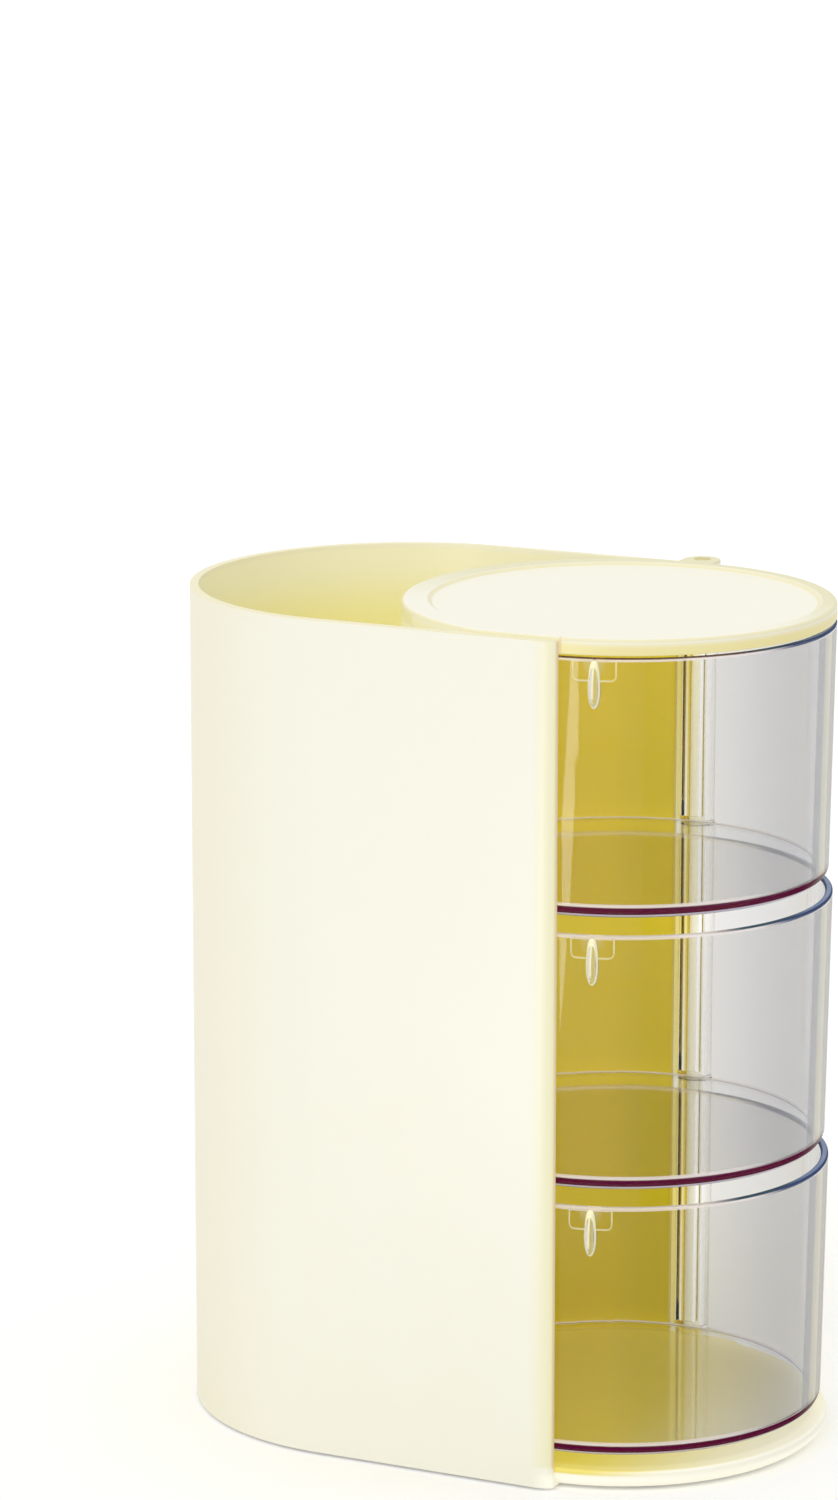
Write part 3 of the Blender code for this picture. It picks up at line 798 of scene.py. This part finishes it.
def zone(tree, *limits):
    """1 where every value is past its second limit, 0 before its first, and soft between."""
    whole = None
    for value, first, second in limits:
        settings = {"interpolation_type": "SMOOTHSTEP", 1: first, 2: second}
        step = node(tree, "ShaderNodeMapRange", settings, {0: value}).outputs[0]
        if whole is None:
            whole = step
        else:
            whole = node(tree, "ShaderNodeMath", {"operation": "MULTIPLY"}, {0: whole, 1: step}).outputs[0]
    return whole


def ray_is(tree, *kinds):
    """1 for a ray of one of these kinds, and 0 for any other."""
    ray = node(tree, "ShaderNodeLightPath")
    found = ray.outputs[kinds[0]]
    for kind in kinds[1:]:
        links = {0: found, 1: ray.outputs[kind]}
        found = node(tree, "ShaderNodeMath", {"operation": "MAXIMUM"}, links).outputs[0]
    return found


def measure(tree, foot):
    """The surface's place as it is, then its measures in millimetres.

    These are x and y from the bay axis, z from the height foot, x and y together as one vector,
    and the distances to the bay axis and to the hinge line.
    """
    place = node(tree, "ShaderNodeTexCoord").outputs["Object"]
    origin = {"operation": "SUBTRACT", 1: at(0.0, 0.0, foot)}
    moved = node(tree, "ShaderNodeVectorMath", origin, {0: place}).outputs[0]
    scale = {"operation": "SCALE", "Scale": 1.0 / MM}
    scaled = node(tree, "ShaderNodeVectorMath", scale, {0: moved}).outputs[0]
    x, y, z = node(tree, "ShaderNodeSeparateXYZ", {}, {0: scaled}).outputs
    flat = node(tree, "ShaderNodeCombineXYZ", {}, {0: x, 1: y}).outputs[0]
    radius = node(tree, "ShaderNodeVectorMath", {"operation": "LENGTH"}, {0: flat}).outputs["Value"]
    pivot = {"operation": "SUBTRACT", 1: Vector((*PIVOT, 0.0)) / MM}
    hinge = node(tree, "ShaderNodeVectorMath", pivot, {0: flat}).outputs[0]
    hinge = node(tree, "ShaderNodeVectorMath", {"operation": "LENGTH"}, {0: hinge}).outputs["Value"]
    return place, x, y, z, flat, radius, hinge


def cream_plastic():
    """Injection moulded ABS in a pale cream, satin from a finely sparked mould.

    It lets part of the light through. Its hollows are given painted shade, a deeper yellow the deeper they
    are, and its flange and the rod a painted glow.
    """
    material, tree = new_finish("cream_moulded_abs")
    place, x, y, z, flat, radius, hinge = measure(tree, 0.0)

    # The distance to the pocket's middle line, which ends in the centre of the round end
    behind = {"operation": "ADD", 1: ROUND_OFFSET / MM}
    behind = node(tree, "ShaderNodeMath", behind, {0: x}).outputs[0]
    behind = node(tree, "ShaderNodeMath", {"operation": "MINIMUM", 1: 0.0}, {0: behind}).outputs[0]
    reach = node(tree, "ShaderNodeCombineXYZ", {}, {0: behind, 1: y}).outputs[0]
    reach = node(tree, "ShaderNodeVectorMath", {"operation": "LENGTH"}, {0: reach}).outputs["Value"]

    # Places on the mouldings, in millimetres
    left_end = (x, -64.0, -104.0)
    nose = ((x, -1.0, 4.6), (y, -50.0, -52.0), (z, 5.0, 7.0))
    front_edge = ((x, 5.1, 5.5), (x, 6.0, 5.8), (y, -50.0, -52.0), (z, 5.0, 7.0))
    pocket = ((reach, 53.9, 53.4), (radius, 53.7, 54.2), (z, 2.9, 3.2))
    under_lip = (z, 211.5, 209.5)
    deep = (z, 207.0, 190.0)
    deeper = (z, 190.0, 110.0)
    bay = ((radius, 54.0, 53.0), (z, 5.5, 5.7), (z, 208.0, 207.6))
    above_ledge = (z, 5.9, 6.4)
    on_ledge = (z, 6.4, 5.9)
    ledge_middle = (x, 60.0, 5.0)
    ledge_edge = ((radius, 51.5, 52.3), (radius, 53.1, 52.9), on_ledge, (z, 4.2, 4.9), (x, 34.0, 10.0))
    cover_side = ((radius, 51.2, 51.6), (radius, 52.4, 52.3), (z, 207.9, 208.0), (z, 211.6, 209.6))
    cover_top = ((radius, 53.8, 53.6), (z, 211.1, 211.15))
    bead_foot = ((radius, 46.9, 47.2), (z, 211.15, 211.3), (z, 212.0, 211.8))
    bead_rear = ((radius, 48.0, 48.6), (z, 211.5, 211.9), (y, -30.0, 25.0))
    # Painted shade over the cream tones, place by place, deepening into the pocket and the bay
    layers = (
        ((left_end,), WALL_LEFT_SHADE),
        (nose, WALL_NOSE_SHADE),
        ((*pocket, under_lip), POCKET_TOP_SHADE),
        ((*pocket, deep), POCKET_DEEP_SHADE),
        ((*pocket, deeper), POCKET_DEEPER_SHADE),
        ((*bay, above_ledge), BAY_SHADE),
        ((*bay, on_ledge, ledge_middle), LEDGE_SHADE),
        (ledge_edge, LEDGE_SHADE),
        (cover_side, COVER_SIDE_SHADE),
        (cover_top, COVER_PLATE_SHADE),
        (bead_foot, COVER_RIM_SHADE),
        (bead_rear, COVER_REAR_SHADE),
        (front_edge, WALL_EDGE_SHADE),
    )
    settings = {"Scale": 1.0 / CLOUD_SIZE, "Detail": 2.0}
    cloud = node(tree, "ShaderNodeTexNoise", settings, {"Vector": place}).outputs["Fac"]
    tones = {"data_type": "RGBA", 6: linear(CREAM_TONES[0]), 7: linear(CREAM_TONES[1])}
    tone = node(tree, "ShaderNodeMix", tones, {0: cloud}).outputs[2]
    for limits, colour in layers:
        settings = {"data_type": "RGBA", 7: linear(colour)}
        tone = node(tree, "ShaderNodeMix", settings, {0: zone(tree, *limits), 6: tone}).outputs[2]

    # Painted light: the flange's lower edge and the rod glow, standing in for light through the plastic from
    # the white table and through the clear knuckles
    flange = zone(tree, (radius, 48.0, 50.0), (z, 6.4, 6.0), (x, 0.0, 8.0))
    rod = zone(tree, (hinge, 2.3, 2.05), (z, 7.0, 8.0), (z, 210.0, 209.0))
    lower = {1: 4.9, 2: 3.4, 3: FLANGE_PAINTED_GLOW[0], 4: FLANGE_PAINTED_GLOW[1]}
    lower = node(tree, "ShaderNodeMapRange", lower, {0: z}).outputs[0]
    flange = node(tree, "ShaderNodeMath", {"operation": "MULTIPLY"}, {0: flange, 1: lower}).outputs[0]
    painted_glow = {"operation": "MULTIPLY_ADD", 1: ROD_PAINTED_GLOW}
    painted_glow = node(tree, "ShaderNodeMath", painted_glow, {0: rod, 2: flange}).outputs[0]

    settings = {"Scale": 1.0 / GRAIN_SIZE, "Detail": 3.0}
    grain = node(tree, "ShaderNodeTexNoise", settings, {"Vector": place}).outputs["Fac"]
    settings = {"Strength": 0.05, "Distance": GRAIN_DEPTH}
    bump = node(tree, "ShaderNodeBump", settings, {"Height": grain}).outputs["Normal"]
    shader = node(
        tree,
        "ShaderNodeBsdfPrincipled",
        {"Roughness": 0.38, "IOR": 1.54, "Emission Color": linear(PAINTED_GLOW_COLOUR)},
        {"Base Color": tone, "Normal": bump, "Emission Strength": painted_glow},
    )

    # Shadow and scattered light get through, but not at the foot, which keeps its shadow
    through = {"operation": "MULTIPLY", 1: LIGHT_THROUGH}
    through = node(
        tree, "ShaderNodeMath", through, {0: ray_is(tree, "Is Shadow Ray", "Is Diffuse Ray")}
    ).outputs[0]
    above_foot = zone(tree, (z, 0.8, 2.5))
    through = node(tree, "ShaderNodeMath", {"operation": "MULTIPLY"}, {0: through, 1: above_foot}).outputs[0]
    light = node(tree, "ShaderNodeBsdfTransparent", {"Color": linear(LIGHT_INSIDE)})
    mix = node(tree, "ShaderNodeMixShader", {}, {0: through, 1: shader.outputs[0], 2: light.outputs[0]})
    node(tree, "ShaderNodeOutputMaterial", {}, {"Surface": mix.outputs[0]})
    return material


def clear_styrene():
    """Clear injection moulded polystyrene, polished.

    Its edges carry painted highlights, reflections and shade lines, its rounded foot corners a painted plum
    reflection, and the top tray's rim a painted shadow under the cover.
    """
    material, tree = new_finish("clear_polystyrene")
    _, _, y, z, flat, radius, hinge = measure(tree, LOWEST_TRAY)
    height = {"operation": "MODULO", 1: TRAY_PITCH / MM}
    height = node(tree, "ShaderNodeMath", height, {0: z}).outputs[0]

    # How far aside of the pull, past the slant that cuts the land's lower corners, and to the right
    across = (-math.sin(PULL_ANGLE), math.cos(PULL_ANGLE), 0.0)
    across = {"operation": "DOT_PRODUCT", 1: across}
    aside = node(tree, "ShaderNodeVectorMath", across, {0: flat}).outputs["Value"]
    aside = node(tree, "ShaderNodeMath", {"operation": "ABSOLUTE"}, {0: aside}).outputs[0]
    corner = node(tree, "ShaderNodeMath", {"operation": "SUBTRACT"}, {0: aside, 1: height}).outputs[0]
    right = (math.cos(SIDE_ANGLE), math.sin(SIDE_ANGLE), 0.0)
    right = {"operation": "DOT_PRODUCT", 1: right}
    right = node(tree, "ShaderNodeVectorMath", right, {0: flat}).outputs["Value"]

    # Places on a tray, in millimetres
    by_hinge = (hinge, 8.0, 6.5)
    # Painted shade: the tint greys towards the right
    tones = (
        (((right, 18.0, 46.0),), CLEAR_RIGHT_SHADE),
        # Painted light and shade by the hinge: a clearer tint so the rod shows brighter, and a strip of the
        # bay's gold shade seen past the knuckle
        ((by_hinge,), HINGE_PAINTED_LIGHT),
        ((by_hinge, (right, 19.6, 18.8)), HINGE_GOLD_SHADE),
    )
    settings = {"data_type": "RGBA", 6: linear(CLEAR_LEFT), 7: linear(CLEAR_MIDDLE)}
    tone = node(tree, "ShaderNodeMix", settings, {0: zone(tree, (right, -6.0, 8.0))}).outputs[2]
    for limits, colour in tones:
        settings = {"data_type": "RGBA", 7: linear(colour)}
        tone = node(tree, "ShaderNodeMix", settings, {0: zone(tree, *limits), 6: tone}).outputs[2]

    slant = node(tree, "ShaderNodeLayerWeight", {"Blend": 0.5}).outputs["Facing"]
    inner = node(tree, "ShaderNodeNewGeometry").outputs["Backfacing"]
    below_rim = (height, 62.6, 62.4)
    right_end = ((inner, 1.0, 0.0), (right, 36.0, 44.0), (radius, 50.3, 50.6), below_rim)
    wall = ((radius, 48.6, 49.2), (hinge, 4.8, 5.2))
    corner_middle = ((height, 0.85, 1.0), (height, 2.85, 2.7), (y, 34.0, -8.0))
    corner_top = ((height, 2.8, 2.9), (height, 3.5, 3.3), (y, -10.0, -30.0))
    corner_low = ((height, 0.35, 0.45), (height, 1.1, 0.95))
    underside = ((height, -0.1, 0.0), (height, 0.4, 0.35))
    under_top = (height, 63.9, 63.7)
    rim = (*wall, (height, 62.4, 62.6), under_top)
    rim_top = (*wall, (height, 63.25, 63.4), under_top)
    rim_middle = (height, 62.7, 62.9)
    rim_right = (right, 30.0, 40.0)
    on_top_tray = (z, 190.0, 191.0)
    front = (y, -30.0, -31.0)
    pull = (front, (radius, 52.3, 52.6))
    on_pull = (aside, 3.0, 2.0)
    land = (front, (radius, 52.05, 52.2), (radius, 52.6, 52.5), (height, 57.5, 57.8))

    # Painted highlights, reflections and shade lines along the edges: the place, the colour, and how much of
    # what is behind it hides
    edges = (
        ((*right_end, (slant, 0.60, 0.625)), END_GREY_SHADE, 0.45),
        ((*right_end, (slant, 0.685, 0.71)), END_CREAM_HIGHLIGHT, 0.5),
        ((*right_end, (slant, 0.785, 0.81)), END_SHADE, 0.5),
        ((*wall, *corner_middle), PLUM_CORNER_REFLECTION, 0.95),
        ((*wall, *corner_top), PINK_HIGHLIGHT, 0.6),
        ((*wall, *corner_low), LILAC_HIGHLIGHT, 0.75),
        ((*wall, *underside), BLUE_REFLECTION, 0.6),
        ((*rim, (height, 62.7, 62.85)), PINK_HIGHLIGHT, 0.55),
        ((*rim_top, (right, 18.0, 28.0)), TEAL_REFLECTION, 0.8),
        ((*rim_top, on_top_tray, (right, 34.0, 24.0)), BROWN_SHADOW, 0.8),
        ((*rim, (height, 62.8, 62.95), (right, 38.0, 46.0)), BLUE_REFLECTION, 0.85),
        ((*rim, (radius, 51.5, 51.8), rim_middle, rim_right), DARK_BLUE_REFLECTION, 0.85),
        ((*rim, (radius, 50.7, 50.4), rim_middle, rim_right), DARK_BLUE_REFLECTION, 0.85),
        # Painted highlights on the pull and along the land's edges
        ((*pull, on_pull), PULL_HIGHLIGHT, 0.25),
        ((*pull, on_pull, (radius, 54.1, 53.8)), PULL_HIGHLIGHT, 0.95),
        ((*pull, (aside, 0.3, 0.15), (height, 53.0, 55.0)), PULL_HIGHLIGHT, 0.85),
        ((*land, (aside, 4.9, 5.05)), PULL_HIGHLIGHT, 0.5),
        ((*land, (height, 58.5, 58.35)), PULL_HIGHLIGHT, 0.5),
        ((*land, (corner, -54.1, -53.95)), PULL_HIGHLIGHT, 0.5),
    )
    edge = tone
    share = None
    for limits, colour, hides in edges:
        here = zone(tree, *limits)
        settings = {"data_type": "RGBA", 7: linear(colour)}
        edge = node(tree, "ShaderNodeMix", settings, {0: here, 6: edge}).outputs[2]
        part = node(tree, "ShaderNodeMath", {"operation": "MULTIPLY", 1: hides}, {0: here}).outputs[0]
        if share is not None:
            part = node(tree, "ShaderNodeMath", {"operation": "MAXIMUM"}, {0: share, 1: part}).outputs[0]
        share = part

    body = node(
        tree,
        "ShaderNodeBsdfPrincipled",
        {
            "Roughness": 0.02,
            "IOR": 1.59,
            "Transmission Weight": 1.0,
            "Specular Tint": linear(CLEAR_GLOSS),
        },
        {"Base Color": tone},
    )
    # The painted lines go on as a diffuse layer over the clear plastic
    painted_lines = node(tree, "ShaderNodeBsdfDiffuse", {}, {"Color": edge})
    body = node(tree, "ShaderNodeMixShader", {}, {0: share, 1: body.outputs[0], 2: painted_lines.outputs[0]})

    # Shadow and scattered light pass as if the trays weren't there
    light = node(tree, "ShaderNodeBsdfTransparent", {"Color": linear(WHITE)})
    passing = ray_is(tree, "Is Shadow Ray", "Is Diffuse Ray")
    mix = node(tree, "ShaderNodeMixShader", {}, {0: passing, 1: body.outputs[0], 2: light.outputs[0]})
    node(tree, "ShaderNodeOutputMaterial", {}, {"Surface": mix.outputs[0]})
    return material


def rubber():
    """Cast soft rubber, matt with a fine bloom."""
    material, tree = new_finish("cast_soft_rubber")
    place = node(tree, "ShaderNodeTexCoord").outputs["Object"]
    settings = {"Scale": 1.0 / BLOOM_SIZE, "Detail": 4.0}
    bloom = node(tree, "ShaderNodeTexNoise", settings, {"Vector": place}).outputs["Fac"]
    tones = {"data_type": "RGBA", 6: linear(RUBBER_TONES[0]), 7: linear(RUBBER_TONES[1])}
    tone = node(tree, "ShaderNodeMix", tones, {0: bloom}).outputs[2]
    settings = {"Roughness": 0.85, "IOR": 1.52}
    shader = node(tree, "ShaderNodeBsdfPrincipled", settings, {"Base Color": tone})
    node(tree, "ShaderNodeOutputMaterial", {}, {"Surface": shader.outputs[0]})
    return material


def dress(piece, material, body, slot, *nodes):
    """Give a piece its finish and tell the frame what it rides on and stands for."""
    piece.data.materials.clear()
    piece.data.materials.append(material)
    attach(piece, body)
    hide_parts(*nodes)


cream = cream_plastic()
clear = clear_styrene()
soft = rubber()

dress(make_housing(), cream, "housing", "cream_plastic", "housing")
dress(make_cover(), cream, "housing", "cream_plastic", "top_cover")
dress(make_rod(), cream, "housing", "cream_plastic", "hinge_rod")

cup = make_tray()
for number, name in enumerate(TRAYS):
    tray = copy_of(cup, name + "_cup", (0.0, 0.0, LOWEST_TRAY + number * TRAY_PITCH))
    dress(tray, clear, name, "clear_plastic", name)
bpy.data.objects.remove(cup)

first_x, first_y = foot_places()[0]
pad = make_foot((first_x, first_y))
for number, (x, y) in enumerate(foot_places(), start=1):
    shift = (x - first_x, y - first_y, 0.0)
    foot = pad if number == 1 else copy_of(pad, f"foot_pad_{number}", shift)
    dress(foot, soft, "housing", "soft_rubber", f"foot_{number}")


# Room: a white floor, even light and the camera


def make_floor():
    """A matt white table top, which looks as white as the room and takes a soft shadow."""
    let_go()
    bpy.ops.mesh.primitive_plane_add(size=FLOOR_SIZE, location=(0.0, 0.0, 0.0))
    floor = bpy.context.object
    floor.name = "floor"
    material, tree = new_finish("white_floor")
    seen = ray_is(tree, "Is Camera Ray", "Is Glossy Ray", "Is Transmission Ray")
    lift = node(tree, "ShaderNodeMath", {"operation": "MULTIPLY", 1: FLOOR_LIFT}, {0: seen}).outputs[0]
    settings = {
        "Base Color": linear(FLOOR_GREY),
        "Roughness": 0.9,
        "Specular IOR Level": 0.1,
        "Emission Color": linear(WHITE),
    }
    shader = node(tree, "ShaderNodeBsdfPrincipled", settings, {"Emission Strength": lift})
    node(tree, "ShaderNodeOutputMaterial", {}, {"Surface": shader.outputs[0]})
    floor.data.materials.append(material)


def make_world():
    """Even light from all round; what the camera sees of it, reflected or not, is plain white."""
    world = bpy.data.worlds.new("room")
    world.use_nodes = True
    tree = world.node_tree
    tree.nodes.clear()
    seen = ray_is(tree, "Is Camera Ray", "Is Glossy Ray", "Is Transmission Ray")
    strength = node(tree, "ShaderNodeMapRange", {3: ROOM_LIGHT, 4: 1.0}, {0: seen}).outputs[0]
    back = node(tree, "ShaderNodeBackground", {"Color": linear(WHITE)}, {"Strength": strength})
    node(tree, "ShaderNodeOutputWorld", {}, {"Surface": back.outputs[0]})
    bpy.context.scene.world = world


def add_key():
    """Even light from far away, from the front and above."""
    lamp = bpy.data.lights.new("key", "SUN")
    lamp.energy = KEY_STRENGTH
    lamp.angle = KEY_WIDTH
    item = bpy.data.objects.new("key", lamp)
    item.rotation_euler = (math.pi / 2 - KEY_ELEVATION, 0.0, KEY_AZIMUTH)
    item.visible_glossy = False
    bpy.context.scene.collection.objects.link(item)


def add_strip():
    """A strip light low in front that the clear trays reflect as one soft upright streak."""
    lamp = bpy.data.lights.new("strip", "AREA")
    lamp.shape = "RECTANGLE"
    lamp.size, lamp.size_y = STRIP_SIZE
    lamp.energy = STRIP_POWER
    item = bpy.data.objects.new("strip", lamp)
    x, y, z = STRIP_AIM
    item.location = at(x + STRIP_REACH * math.sin(STRIP_LEAN), y - STRIP_REACH * math.cos(STRIP_LEAN), z)
    item.rotation_euler = (math.pi, 0.0, -STRIP_LEAN)
    item.visible_camera = False
    item.visible_diffuse = False
    item.visible_transmission = False
    bpy.context.scene.collection.objects.link(item)


def make_camera():
    lens = bpy.data.cameras.new("camera")
    lens.sensor_fit = "AUTO"
    lens.sensor_width = SENSOR
    lens.lens = CAMERA_LENS
    lens.clip_start, lens.clip_end = CAMERA_CLIP
    camera = bpy.data.objects.new("camera", lens)
    camera.location = at(*CAMERA_PLACE)
    camera.rotation_euler = (math.pi / 2 - CAMERA_PITCH, 0.0, CAMERA_TURN)
    bpy.context.scene.collection.objects.link(camera)
    bpy.context.scene.camera = camera


make_floor()
make_world()
add_key()
add_strip()
make_camera()
bpy.context.scene.view_settings.view_transform = "Standard"
